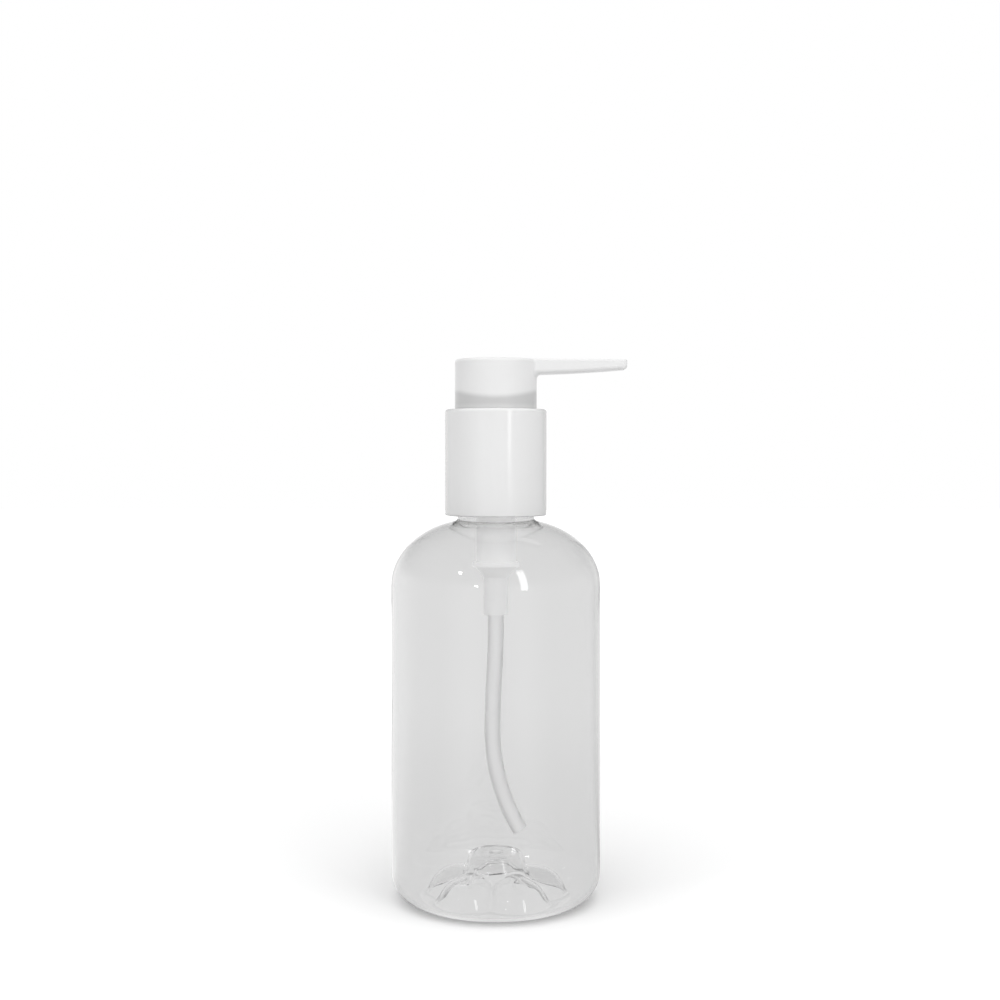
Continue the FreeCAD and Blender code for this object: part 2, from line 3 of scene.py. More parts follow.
import bmesh
import bpy
import numpy as np
from bpy.props import FloatProperty, FloatVectorProperty, IntProperty, PointerProperty
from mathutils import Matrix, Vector


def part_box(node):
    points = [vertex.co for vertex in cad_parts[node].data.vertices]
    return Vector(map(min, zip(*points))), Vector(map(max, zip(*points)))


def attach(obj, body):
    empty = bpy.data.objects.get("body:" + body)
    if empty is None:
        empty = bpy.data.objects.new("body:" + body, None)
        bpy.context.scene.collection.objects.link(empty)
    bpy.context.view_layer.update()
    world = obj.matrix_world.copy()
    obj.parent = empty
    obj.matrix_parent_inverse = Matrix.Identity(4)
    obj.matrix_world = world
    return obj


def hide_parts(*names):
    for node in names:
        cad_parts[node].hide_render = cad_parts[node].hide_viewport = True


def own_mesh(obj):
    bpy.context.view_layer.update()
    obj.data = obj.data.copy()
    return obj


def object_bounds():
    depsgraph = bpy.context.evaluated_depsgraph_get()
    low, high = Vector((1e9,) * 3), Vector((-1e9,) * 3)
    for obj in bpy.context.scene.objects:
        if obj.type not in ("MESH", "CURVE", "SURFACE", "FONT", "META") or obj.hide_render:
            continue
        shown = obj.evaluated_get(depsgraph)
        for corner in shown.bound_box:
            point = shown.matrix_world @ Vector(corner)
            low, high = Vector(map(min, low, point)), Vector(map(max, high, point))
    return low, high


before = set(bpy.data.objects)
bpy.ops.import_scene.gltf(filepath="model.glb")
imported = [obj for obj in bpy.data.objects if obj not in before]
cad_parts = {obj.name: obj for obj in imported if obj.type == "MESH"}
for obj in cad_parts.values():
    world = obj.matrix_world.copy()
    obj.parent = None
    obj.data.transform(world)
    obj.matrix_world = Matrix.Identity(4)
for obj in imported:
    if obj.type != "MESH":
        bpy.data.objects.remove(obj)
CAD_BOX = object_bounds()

bl_info = {
    "name": "Pump oil bottle",
    "version": (1, 0, 0),
    "blender": (4, 5, 0),
    "location": "3D View > Sidebar > Oil bottle",
    "description": "Dresses the packed pump oil bottle and sets up its studio",
    "category": "Object",
}

MM = 0.001
FULL_TURN = 2 * math.pi

# Grids: columns round the bottle, rows of each stretch of its outline, balls in a petal, passes that round
# the base's creases, steepness of the screw ridge, and the spring wire's columns and rows
COLUMNS = 200
BASE_ROWS = 72
HEEL_ROWS = 16
WALL_ROWS = 6
SHOULDER_ROWS = 40
BLEND_ROWS = 8
NECK_ROWS = 64
LIP_ROWS = 6
PETAL_BALLS = 24
CREASE_PASSES = 10
RIDGE_STEEPNESS = 1.6
WIRE_COLUMNS = 12
WIRE_ROWS_PER_TURN = 40

# The painted shade on the head's lower part: its top as a share of the head's height, how fast that falls
# towards the front and back (per metre), the softness of its edge, and where it thins out to a paler rim at
# the foot
SKIRT_SHARE = 0.43
SKIRT_FALL = 14.0
SKIRT_SOFTNESS = 0.9 * MM
RIM_START = 1.6 * MM
RIM_END = 3.2 * MM
RIM_LIGHT = 0.5

# The housing's painted glow, seen only through clear plastic: its level on the tube socket and on the barrel,
# and the heights over the socket's foot between which it changes
SOCKET_GLOW = 0.19
BARREL_GLOW = 0.33
SOCKET_GLOW_END = 5.8 * MM
BARREL_GLOW_START = 14.8 * MM

# What gloss sees round the studio: degrees from the front towards the spout, and the level there
STUDIO_SIDES = (
    (-180, 0.9), (-150, 1.0), (-115, 1.0), (-90, 0.5), (-60, 0.35), (-30, 0.9), (0, 0.6),
    (30, 0.9), (60, 0.35), (90, 0.4), (120, 0.55), (136, 0.3), (150, 0.65), (180, 0.9),
)

# The ceiling that gloss sees: it darkens to a share between two heights of a direction of length 1
CEILING_START = 0.05
CEILING_END = 0.4
CEILING_SHARE = 0.05

# The floor: its paleness for other pieces and for the camera, the painted shadow close to the bottle where it
# is seen through plastic (how much darker, and how far out), and the place that its glow for the camera grows
# away from, in metres. That glow is painted light: it makes the far floor white and pales the floor's shadow
# in front of the bottle
FLOOR_FOR_PIECES = 0.75
FLOOR_FOR_CAMERA = 0.95
FLOOR_SHADOW_SHARE = 0.91
FLOOR_SHADOW_REACH = 0.35
GLOW_CENTRE = (0, 0.1, 0)
GLOW_START = 0.1
GLOW_END = 0.2

# Lamps: degrees from the front and up, width and height in metres, radiance, whether gloss shows it, and
# distance in metres
LAMPS = {
    "front_softbox": (2, 8, 0.9, 0.9, 0.55, False, 1.5),
    "right_strip": (31, 22.5, 0.11, 0.58, 3.4, True, 0.8),
    "left_spot_high": (-44, 36, 0.05, 0.05, 14, True, 0.8),
    "left_spot_low": (-21, 12, 0.05, 0.05, 14, True, 0.8),
}
TOP_LIGHT_FROM = (-4, 64)

# Enough for light that is caught inside the neck's wall
LIGHT_BOUNCES = 32


def srgb(code):
    """Linear RGB of an sRGB hex colour, by the sRGB curve."""
    parts = np.array([int(code[i:i + 2], 16) for i in (1, 3, 5)]) / 255
    curved = np.where(parts <= 0.04045, parts / 12.92, ((parts + 0.055) / 1.055) ** 2.4)
    return tuple(float(value) for value in curved)


def length(name, millimetres, description):
    """A length property that is written in millimetres and kept in metres."""
    return FloatProperty(name=name, description=description, default=millimetres * MM, unit="LENGTH",
                         precision=5)


def angle(name, degrees, description):
    """An angle property that is written in degrees and kept in radians."""
    return FloatProperty(name=name, description=description, default=math.radians(degrees), subtype="ANGLE")


def colour(name, code, description):
    """A colour property that is written as an sRGB hex value and kept in linear RGB."""
    return FloatVectorProperty(name=name, description=description, default=srgb(code), subtype="COLOR",
                               size=3, min=0, max=1)


class BottleSizes(bpy.types.PropertyGroup):
    """Sizes of the blown bottle that its box doesn't give."""

    wall: length("Wall", 0.65, "Thickness of the blown wall")
    heel: length("Heel radius", 7.9, "Radius between the wall and the base")
    shoulder_z: length("Shoulder height", 89.6, "Height where the straight wall ends")
    shoulder_reach: length("Shoulder reach", 23.9, "Half width of the shoulder's ellipse")
    shoulder_rise: length("Shoulder rise", 18.75, "Half height of the shoulder's ellipse")
    shoulder_extra: length("Shoulder extra wall", 0.35, "Wall added at the top of the shoulder")
    neck_radius: length("Neck radius", 10.8, "Outer radius of the neck at the thread's root")
    neck_wall: length("Neck wall", 1.3, "Thickness of the neck's moulded wall")
    neck_blend: length("Neck blend", 1.2, "Length of the curve between shoulder and neck")
    lip: length("Lip radius", 0.35, "Rounding of the mouth's edge")
    thread_depth: length("Thread depth", 1.05, "Height of the screw ridge above the neck")
    thread_pitch: length("Thread pitch", 3.175, "Rise of the screw ridge in one turn")
    thread_width: length("Thread width", 2.1, "Width of the screw ridge at its root")
    thread_below_mouth: length("Thread below mouth", 6.9, "Depth of the ridge's lower end under the mouth")
    thread_turn: angle("Thread turn", 540, "Angle that the screw ridge goes round")
    thread_run_out: angle("Thread run-out", 25, "Angle over which the ridge's ends fade")
    petals: IntProperty(name="Petals", description="Petals of the base's push-up", default=5, min=3)
    petal_turn: angle("Petal turn", 85, "Direction of the first petal")
    push_up: length("Push-up", 12.5, "Height of the flat-topped dome in the base")
    dome_radius: length("Dome radius", 7.0, "Radius of the dome's top")
    petal_rise: length("Petal rise", 8.5, "Height of the petals where they leave the dome")
    petal_top_radius: length("Petal top radius", 4.0, "Radius of a petal's inner end")
    petal_top_out: length("Petal top offset", 5.5, "Distance of a petal's inner end from the axis")
    petal_foot_radius: length("Petal foot radius", 8.6, "Radius of a petal's outer end")
    petal_foot_sink: length("Petal foot sink", 1.0, "Depth of the outer end's centre under the base")
    standing_land: length("Standing land", 1.7, "Flat ring between the petals and the heel")
    gate_radius: length("Gate radius", 2.2, "Radius of the moulding gate's nub under the base")
    gate_height: length("Gate height", 0.9, "Height of the moulding gate's nub")


class SpringSizes(bpy.types.PropertyGroup):
    """Sizes of the return spring that its box doesn't give."""

    wire: length("Wire radius", 0.4, "Radius of the spring wire")
    turns: IntProperty(name="Turns", description="Turns of the spring", default=7, min=2)
    closing: FloatProperty(name="End closing", description="How far the end turns are drawn together",
                           default=0.4, min=0, max=0.9, subtype="FACTOR")


class Finishes(bpy.types.PropertyGroup):
    """Colours of the materials."""

    pet: colour("Clear PET", "#F5F5F5", "Tint of the blown bottle")
    sleeve: colour("Sleeve", "#E5E5E5", "Glossy outer sleeve of the collar")
    # The head's own colour, and a darker copy of it that is painted shade on the head's lower part
    head: colour("Pump head", "#E6E6E6", "Satin pump head where it is backed")
    skirt_shade: colour("Head skirt", "#C6C6C6", "Satin pump head where it is hollow behind")
    white: colour("White PP", "#EAEAE8", "Hidden white pump parts")
    natural_pp: colour("Natural PP", "#FDFDFD", "Milky pump housing")
    natural_pe: colour("Natural PE", "#FDFDFD", "Milky dip tube and piston")
    foam: colour("Foam PE", "#E6E6E2", "Neck gasket")
    steel: colour("Stainless steel", "#C9C8C5", "Spring and ball")


class StudioSettings(bpy.types.PropertyGroup):
    """Camera, lamps and floor."""

    camera_distance: length("Camera distance", 414.28, "Distance from the bottle's axis")
    camera_height: length("Camera height", 126.18, "Height above the floor")
    camera_side: length("Camera offset", 1.19, "Offset to the spout's side")
    camera_drop: FloatProperty(name="Camera drop", description="Angle the camera looks down",
                               default=0.0301, subtype="ANGLE")
    focal: FloatProperty(name="Focal length", description="Lens on a 36 mm sensor", default=52.48)
    ambient: FloatProperty(name="Ambient", description="White light from all round", default=0.6, min=0)
    through: FloatProperty(name="Through", description="Level of floor and background seen through plastic",
                           default=0.88, min=0)
    inside: FloatProperty(name="Inside", description="Level that lights what stands inside the clear bottle",
                          default=0.7, min=0)
    floor_glow: FloatProperty(name="Floor glow", description="White added to the far floor for the camera",
                              default=0.2, min=0)
    top_light: FloatProperty(name="Top light", description="Light from above on a facing surface",
                             default=1.6, min=0)
    top_light_width: angle("Top light width", 65, "Angle the top light spans")
    floor_size: length("Floor size", 6000, "Side of the floor")


def finishes():
    """The colours that the user has set."""
    return bpy.context.scene.oil_bottle_finishes


def round_about(radius, z):
    """Points of a turned surface: radius and height rows, each a number or a value per column, carried
    round the Z axis as (radius cos a, radius sin a, height) at evenly spaced angles a."""
    turn = np.linspace(0, FULL_TURN, COLUMNS, endpoint=False)
    radius, z = np.broadcast_arrays(radius, z + np.zeros(COLUMNS))
    return np.stack([radius * np.cos(turn), radius * np.sin(turn), z], axis=-1)


def smooth_step(share):
    """3 s^2 - 2 s^3 of a share clipped to 0..1."""
    share = np.clip(share, 0, 1)
    return share * share * (3 - 2 * share)


def make_piece(name, points, material, body):
    """A closed mesh from a grid of points (rows, columns, xyz). Columns close on themselves, and the first
    and last rows are poles that merge into one point each."""
    rows, columns = points.shape[:2]
    index = np.arange(rows * columns).reshape(rows, columns)
    low, high = index[:-1], index[1:]
    next_low, next_high = np.roll(low, -1, axis=1), np.roll(high, -1, axis=1)
    quads = np.stack([low, next_low, next_high, high], axis=-1).reshape(-1, 4)
    mesh = bpy.data.meshes.new(name)
    mesh.from_pydata(points.reshape(-1, 3).tolist(), [], quads.tolist())
    merged = bmesh.new()
    merged.from_mesh(mesh)
    bmesh.ops.remove_doubles(merged, verts=merged.verts, dist=MM * 1e-4)
    merged.to_mesh(mesh)
    merged.free()
    mesh.shade_smooth()
    mesh.materials.append(material)
    piece = bpy.data.objects.new(name, mesh)
    bpy.context.scene.collection.objects.link(piece)
    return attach(piece, body)


def dress(node, material):
    """Gives a CAD node's own mesh a finish."""
    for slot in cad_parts[node].material_slots:
        slot.material = material


def add_node(tree, kind, inputs=None, **settings):
    """Adds a node with its settings. An input that is a socket is linked, and any other is a value."""
    node = tree.nodes.new(kind)
    for key, value in settings.items():
        setattr(node, key, value)
    for key, value in (inputs or {}).items():
        if isinstance(value, bpy.types.NodeSocket):
            tree.links.new(value, node.inputs[key])
        else:
            node.inputs[key].default_value = value
    return node


def pattern_scale(millimetres):
    """Texture scale that gives features of this real size on coordinates in metres."""
    return 1 / (millimetres * MM)


def new_finish(name):
    """A material, its empty node tree and a socket of Object coordinates, which are metres in the frame."""
    material = bpy.data.materials.new(name)
    material.use_nodes = True
    tree = material.node_tree
    tree.nodes.clear()
    place = add_node(tree, "ShaderNodeTexCoord").outputs["Object"]
    return material, tree, place


def show(tree, shader):
    """Ends a material with this shader."""
    add_node(tree, "ShaderNodeOutputMaterial", {"Surface": shader.outputs[0]})


def noise_bump(tree, place, size, height, detail=2.0):
    """Normal of a moulded surface whose grain has this size and height in millimetres."""
    grain = add_node(tree, "ShaderNodeTexNoise",
                     {"Vector": place, "Scale": pattern_scale(size), "Detail": detail})
    bump = add_node(tree, "ShaderNodeBump",
                    {"Height": grain.outputs["Fac"], "Strength": 1.0, "Distance": height * MM})
    return bump.outputs["Normal"]


def mixed_colour(tree, factor, first, second):
    """Colour socket that goes from first to second as factor goes from 0 to 1."""
    mix = add_node(tree, "ShaderNodeMix", data_type="RGBA")
    tree.links.new(factor, mix.inputs["Factor"])
    for socket, value in zip((mix.inputs[6], mix.inputs[7]), (first, second)):
        if isinstance(value, bpy.types.NodeSocket):
            tree.links.new(value, socket)
        else:
            socket.default_value = (*value, 1)
    return mix.outputs[2]


def patches(tree, place, size, detail=3.0):
    """Noise from 0 to 1 in patches of this size in millimetres."""
    return add_node(tree, "ShaderNodeTexNoise",
                    {"Vector": place, "Scale": pattern_scale(size), "Detail": detail}).outputs["Fac"]


def darker(light, share):
    """A colour with a share of its light taken away."""
    return tuple(value * (1 - share) for value in light)


def painted_glow(tree, level):
    """Painted glow that stands in for light come through a thin milky wall. It shows only through clear
    plastic.
    """
    through = add_node(tree, "ShaderNodeLightPath").outputs["Is Transmission Ray"]
    return add_node(tree, "ShaderNodeMath", {0: through, 1: level}, operation="MULTIPLY").outputs[0]


def clear_pet():
    """Stretch-blown PET: clear with a faint grey tint, mirror smooth, with slow upright waves in the wall.
    It lets part of the lamps' light through at each skin, so that its shadow stays light."""
    material, tree, place = new_finish("clear_pet_blown")
    upright = add_node(tree, "ShaderNodeMapping", {"Vector": place, "Scale": (1, 1, 0.3)}).outputs["Vector"]
    skin = add_node(tree, "ShaderNodeBsdfPrincipled", {
        "Base Color": (*finishes().pet, 1),
        "Roughness": 0.0,
        "IOR": 1.57,
        "Transmission Weight": 1.0,
        "Normal": noise_bump(tree, upright, 16, 0.04, 0.0),
    })
    passed = add_node(tree, "ShaderNodeBsdfTransparent", {"Color": (0.8, 0.8, 0.8, 1)})
    shadow = add_node(tree, "ShaderNodeLightPath").outputs["Is Shadow Ray"]
    show(tree, add_node(tree, "ShaderNodeMixShader", {0: shadow, 1: skin.outputs[0], 2: passed.outputs[0]}))
    return material


def gloss_white():
    """Polished white PP of the sleeve: white with a clear gloss and a trace of orange peel."""
    material, tree, place = new_finish("gloss_white_pp_polished")
    light = finishes().sleeve
    show(tree, add_node(tree, "ShaderNodeBsdfPrincipled", {
        "Base Color": mixed_colour(tree, patches(tree, place, 22), light, darker(light, 0.02)),
        "Roughness": 0.12,
        "IOR": 1.49,
        "Normal": noise_bump(tree, place, 3.0, 0.002, 0.0),
    }))
    return material


def satin_white():
    """Fine-textured natural white PP of the head: satin. Its lower part is greyer with painted shade, whose
    top ends lower at the front and back, and which thins out at the foot. A faint sheen keeps its sides pale."""
    material, tree, place = new_finish("satin_white_pp_textured")
    looks = finishes()
    low, high = (corner.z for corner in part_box("pump_head"))
    along = add_node(tree, "ShaderNodeSeparateXYZ", {"Vector": place}).outputs
    squared = add_node(tree, "ShaderNodeMath", {0: along["Y"], 1: along["Y"]}, operation="MULTIPLY")
    height = add_node(tree, "ShaderNodeMath", {0: squared.outputs[0], 1: SKIRT_FALL, 2: along["Z"]},
                      operation="MULTIPLY_ADD").outputs[0]
    skirt_top = low + SKIRT_SHARE * (high - low)
    # Painted shade: the head is grey below this height, which lies lower at the front and back, and keeps its
    # own colour above it
    unshaded = add_node(tree, "ShaderNodeMapRange", {
        "Value": height,
        "From Min": skirt_top - SKIRT_SOFTNESS,
        "From Max": skirt_top + SKIRT_SOFTNESS,
    }, interpolation_type="SMOOTHSTEP").outputs["Result"]
    # The painted shade thins out to a paler rim at the foot
    rim = add_node(tree, "ShaderNodeMapRange", {
        "Value": along["Z"],
        "From Min": low + RIM_START,
        "From Max": low + RIM_END,
        "To Min": RIM_LIGHT,
        "To Max": 0,
    }, interpolation_type="SMOOTHSTEP").outputs["Result"]
    light = add_node(tree, "ShaderNodeMath", {0: unshaded, 1: rim}, operation="MAXIMUM").outputs[0]
    tone, shade = (mixed_colour(tree, light, darker(looks.skirt_shade, share), darker(looks.head, share))
                   for share in (0, 0.03))
    show(tree, add_node(tree, "ShaderNodeBsdfPrincipled", {
        "Base Color": mixed_colour(tree, patches(tree, place, 6), tone, shade),
        "Roughness": 0.45,
        "IOR": 1.49,
        "Sheen Weight": 0.9,
        "Sheen Roughness": 0.35,
        "Normal": noise_bump(tree, place, 0.6, 0.0005),
    }))
    return material


def white_pp():
    """Plain moulded white PP of the hidden pump parts. A painted glow, seen only through clear plastic,
    stands in for the light that thin white PP lets through, so what shows of it through the clear neck isn't
    black inside the collar."""
    material, tree, place = new_finish("white_pp_moulded")
    light = finishes().white
    show(tree, add_node(tree, "ShaderNodeBsdfPrincipled", {
        "Base Color": mixed_colour(tree, patches(tree, place, 8), light, darker(light, 0.03)),
        "Roughness": 0.38,
        "IOR": 1.49,
        # Painted glow, seen only through clear plastic
        "Emission Strength": painted_glow(tree, 0.45),
        "Normal": noise_bump(tree, place, 0.5, 0.004),
    }))
    return material


def natural_pp():
    """Uncoloured PP of the housing: milky, so light comes through it blurred. A painted glow, seen only
    through clear plastic, is stronger on the thin barrel than on the socket that holds the tube."""
    material, tree, place = new_finish("natural_pp_milky")
    light = finishes().natural_pp
    height = add_node(tree, "ShaderNodeSeparateXYZ", {"Vector": place}).outputs["Z"]
    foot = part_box("pump_housing")[0].z
    level = add_node(tree, "ShaderNodeMapRange", {
        "Value": height,
        "From Min": foot + SOCKET_GLOW_END,
        "From Max": foot + BARREL_GLOW_START,
        "To Min": SOCKET_GLOW,
        "To Max": BARREL_GLOW,
    }).outputs["Result"]
    show(tree, add_node(tree, "ShaderNodeBsdfPrincipled", {
        "Base Color": mixed_colour(tree, patches(tree, place, 5), light, darker(light, 0.04)),
        "Roughness": 0.3,
        "IOR": 1.49,
        "Transmission Weight": 0.1,
        # Painted glow, seen only through clear plastic, stronger on the barrel than on the socket
        "Emission Strength": painted_glow(tree, level),
        "Normal": noise_bump(tree, place, 0.8, 0.004),
    }))
    return material


def natural_pe():
    """Uncoloured PE of the dip tube and piston: extruded, waxy and milky."""
    material, tree, place = new_finish("natural_pe_extruded")
    light = finishes().natural_pe
    drawn = add_node(tree, "ShaderNodeMapping", {"Vector": place, "Scale": (1, 1, 0.05)}).outputs["Vector"]
    show(tree, add_node(tree, "ShaderNodeBsdfPrincipled", {
        "Base Color": mixed_colour(tree, patches(tree, drawn, 1.5), light, darker(light, 0.05)),
        "Roughness": 0.35,
        "IOR": 1.51,
        "Transmission Weight": 0.95,
        # Painted glow, seen only through clear plastic
        "Emission Strength": painted_glow(tree, 0.06),
        "Normal": noise_bump(tree, drawn, 0.6, 0.004),
    }))
    return material


def foam_pe():
    """Expanded PE of the gasket: matt, with fine closed cells."""
    material, tree, place = new_finish("foam_pe_cells")
    light = finishes().foam
    cells = add_node(tree, "ShaderNodeTexVoronoi", {"Vector": place, "Scale": pattern_scale(0.35)})
    bump = add_node(tree, "ShaderNodeBump",
                    {"Height": cells.outputs["Distance"], "Strength": 1.0, "Distance": 0.05 * MM})
    show(tree, add_node(tree, "ShaderNodeBsdfPrincipled", {
        "Base Color": mixed_colour(tree, cells.outputs["Distance"], darker(light, 0.08), light),
        "Roughness": 0.8,
        "Normal": bump.outputs["Normal"],
    }))
    return material


def stainless():
    """Drawn stainless steel of the spring and ball: bright, with a fine drawn grain."""
    material, tree, place = new_finish("stainless_steel_drawn")
    light = finishes().steel
    show(tree, add_node(tree, "ShaderNodeBsdfPrincipled", {
        "Base Color": mixed_colour(tree, patches(tree, place, 0.6), light, darker(light, 0.1)),
        "Metallic": 1.0,
        "Roughness": 0.22,
        "Normal": noise_bump(tree, place, 0.15, 0.002),
    }))
    return material


def arc(centre, across, rise, start, end, steps):
    """Rows of an ellipse arc: centre + (across cos t, rise sin t) from angle start to end."""
    t = np.linspace(start, end, steps)[:, None]
    return centre[0] + across * np.cos(t), centre[1] + rise * np.sin(t)


def bend(start, corner, end, steps):
    """Rows of a quadratic curve from start to end that is pulled towards a corner."""
    t = np.linspace(0, 1, steps)[:, None]
    return tuple((1 - t) ** 2 * a + 2 * t * (1 - t) * b + t ** 2 * c for a, b, c in zip(start, corner, end))


def straight(start, end, steps):
    """Rows of a straight line: start + (end - start) t for t from 0 to 1."""
    t = np.linspace(0, 1, steps)[:, None]
    return tuple(a + (b - a) * t for a, b in zip(start, end))


def soften(heights, passes):
    """Rounds the creases of a height grid: each pass averages every height with its four neighbours."""
    for _ in range(passes):
        beside = (np.roll(heights, 1, axis=1) + np.roll(heights, -1, axis=1)) / 2
        edged = np.pad(heights, ((1, 1), (0, 0)), mode="edge")
        heights = heights / 2 + (beside + (edged[:-2] + edged[2:]) / 2) / 4
    return heights


def push_up_heights(sizes, radius, grow, stand_radius):
    """Heights of the base over its standing plane: the highest of a flat-topped cone, the petals and the
    plane. A petal is the upper envelope of a row of balls from its small inner end to its large outer end.
    Every form is grown by the same offset."""
    turn = np.linspace(0, FULL_TURN, COLUMNS, endpoint=False)
    apart = FULL_TURN / sizes.petals
    off = (turn - sizes.petal_turn + apart / 2) % apart - apart / 2
    along, across = radius * np.cos(off), radius * np.sin(off)
    foot_out = stand_radius - math.sqrt(sizes.petal_foot_radius ** 2 - sizes.petal_foot_sink ** 2)
    share = np.linspace(0, 1, PETAL_BALLS)[:, None, None]
    out = foot_out + (sizes.petal_top_out - foot_out) * share
    climb = sizes.petal_rise - sizes.petal_top_radius + sizes.petal_foot_sink
    centre = climb * share - sizes.petal_foot_sink
    ball = sizes.petal_foot_radius + grow + (sizes.petal_top_radius - sizes.petal_foot_radius) * share
    room = ball ** 2 - (along - out) ** 2 - across ** 2
    petals = np.where(room > 0, centre + np.sqrt(np.maximum(room, 0)), 0).max(axis=0)
    meet = foot_out * math.cos(apart / 2)
    slope = np.clip((meet + grow - radius) / (meet - sizes.dome_radius), 0, 1)
    heights = np.maximum(np.maximum(petals, slope * (sizes.push_up + grow)), grow)
    heights[-1] = grow
    heights = soften(heights, CREASE_PASSES)
    heights[-1] = grow
    return heights


def thread_height(sizes, z, mouth):
    """Height of the screw ridge over the neck: a rounded ridge about the helix z = start + pitch * a / turn,
    which fades at both ends."""
    turn = np.linspace(0, FULL_TURN, COLUMNS, endpoint=False)
    ridge = np.zeros(np.broadcast(z, turn).shape)
    for lap in range(math.ceil(sizes.thread_turn / FULL_TURN)):
        wound = turn + lap * FULL_TURN
        centre = mouth - sizes.thread_below_mouth + sizes.thread_pitch * wound / FULL_TURN
        run_out = np.minimum(wound, sizes.thread_turn - wound) / sizes.thread_run_out
        across = 1 - np.abs(z - centre) / (sizes.thread_width / 2)
        rise = smooth_step(across * RIDGE_STEEPNESS) * smooth_step(run_out)
        ridge = np.maximum(ridge, sizes.thread_depth * rise)
    return ridge


def shell_rows(sizes, side, wall, extra, neck_radius):
    """Rows of the bottle's turned outline, set in by a wall, from the heel up to the neck's root: heel arc,
    straight wall, elliptical shoulder and the curve into the neck. Gives their radii and heights."""
    heel = sizes.heel - wall
    reach, rise = sizes.shoulder_reach - wall, sizes.shoulder_rise - wall - extra
    middle = (side - sizes.shoulder_reach, sizes.shoulder_z)
    root_z = middle[1] + rise * math.sqrt(1 - ((neck_radius - middle[0]) / reach) ** 2)
    leave = math.acos((neck_radius + sizes.neck_blend - middle[0]) / reach)
    blend_start = (middle[0] + reach * math.cos(leave), middle[1] + rise * math.sin(leave))
    rows = [
        arc((side - sizes.heel, sizes.heel), heel, heel, -math.pi / 2, 0, HEEL_ROWS),
        straight((side - wall, sizes.heel), (side - wall, sizes.shoulder_z), WALL_ROWS),
        arc(middle, reach, rise, 0, leave, SHOULDER_ROWS),
        bend(blend_start, (neck_radius, root_z), (neck_radius, root_z + sizes.neck_blend), BLEND_ROWS),
    ]
    return [np.concatenate([part[axis][1:] for part in rows]) for axis in (0, 1)]


def bottle_points(sizes):
    """Grid of the whole bottle skin, from the base's outer centre up the outside, over the lip and down the
    inside to the base's inner centre."""
    top_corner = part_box("bottle")[1]
    side, mouth = top_corner.y, top_corner.z
    flat = side - sizes.heel
    stand = flat - sizes.standing_land
    bore = sizes.neck_radius - sizes.neck_wall
    base_r = np.linspace(0, flat, BASE_ROWS)[:, None]
    outer_base = push_up_heights(sizes, base_r, 0, stand)
    outer_base = outer_base - sizes.gate_height * smooth_step(1 - base_r / sizes.gate_radius)
    inner_base = push_up_heights(sizes, base_r, sizes.wall, stand)
    out_r, out_z = shell_rows(sizes, side, 0, 0, sizes.neck_radius)
    in_r, in_z = shell_rows(sizes, side, sizes.wall, sizes.shoulder_extra, bore)
    neck_z = np.linspace(out_z[-1, 0], mouth - sizes.lip, NECK_ROWS)[1:, None]
    neck_r = sizes.neck_radius + thread_height(sizes, neck_z, mouth)
    lip, lip_z = sizes.lip, mouth - sizes.lip
    lip_out_r, lip_out_z = arc((sizes.neck_radius - lip, lip_z), lip, lip, 0, math.pi / 2, LIP_ROWS)
    lip_in_r, lip_in_z = arc((bore + lip, lip_z), lip, lip, math.pi / 2, math.pi, LIP_ROWS)
    stretches = [
        (base_r, outer_base),
        (out_r, out_z),
        (neck_r, neck_z),
        (lip_out_r[1:], lip_out_z[1:]),
        (lip_in_r, lip_in_z),
        (in_r[::-1], in_z[::-1]),
        (base_r[::-1], inner_base[::-1]),
    ]
    return np.concatenate([round_about(radius, z) for radius, z in stretches])


class OILBOTTLE_OT_bottle(bpy.types.Operator):
    """Make the clear blown bottle with its petal base and screw neck"""

    bl_idname = "oil_bottle.bottle"
    bl_label = "Bottle"

    def execute(self, context):
        points = bottle_points(context.scene.oil_bottle_sizes)
        piece = make_piece("blown_bottle", points, clear_pet(), "bottle")
        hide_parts("bottle")
        return {"FINISHED"}


def spring_points(sizes):
    """Grid of the spring wire: a circle carried along a helix whose height is u - closing sin(2 pi u) / 2 pi
    of the way up at share u, so that the end turns lie closer. Each end row is drawn in to a point."""
    low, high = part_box("return_spring")
    mean = high.x - sizes.wire
    start, rise = low.z + sizes.wire, high.z - low.z - 2 * sizes.wire
    u = np.linspace(0, 1, sizes.turns * WIRE_ROWS_PER_TURN)[:, None]
    turn = FULL_TURN * sizes.turns * u
    climb = rise * (u - sizes.closing * np.sin(FULL_TURN * u) / FULL_TURN)
    centre = np.stack([mean * np.cos(turn), mean * np.sin(turn), start + climb], axis=-1)
    outward = np.stack([np.cos(turn), np.sin(turn), 0 * turn], axis=-1)
    ahead = np.gradient(centre, axis=0)
    ahead /= np.linalg.norm(ahead, axis=-1, keepdims=True)
    sideways = np.cross(ahead, outward)
    round_wire = np.linspace(0, FULL_TURN, WIRE_COLUMNS, endpoint=False)[None, :, None]
    reach = np.full(u.shape[:1], sizes.wire)[:, None, None]
    reach[[0, -1]] = 0
    return centre + reach * (np.cos(round_wire) * outward + np.sin(round_wire) * sideways)


class OILBOTTLE_OT_spring(bpy.types.Operator):
    """Make the return spring and finish the inlet ball in steel. The real spring shortens as the head is
    pressed; this one is made at one length.
    """

    bl_idname = "oil_bottle.spring"
    bl_label = "Return spring and ball"

    def execute(self, context):
        steel = stainless()
        dress("inlet_ball", steel)
        points = spring_points(context.scene.oil_bottle_spring)
        piece = make_piece("coil_spring", points, steel, "pump")
        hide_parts("return_spring")
        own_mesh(piece)
        return {"FINISHED"}


class OILBOTTLE_OT_collar(bpy.types.Operator):
    """Finish the glossy sleeve of the screw collar"""

    bl_idname = "oil_bottle.collar"
    bl_label = "Collar sleeve"

    def execute(self, context):
        dress("collar_sleeve", gloss_white())
        return {"FINISHED"}


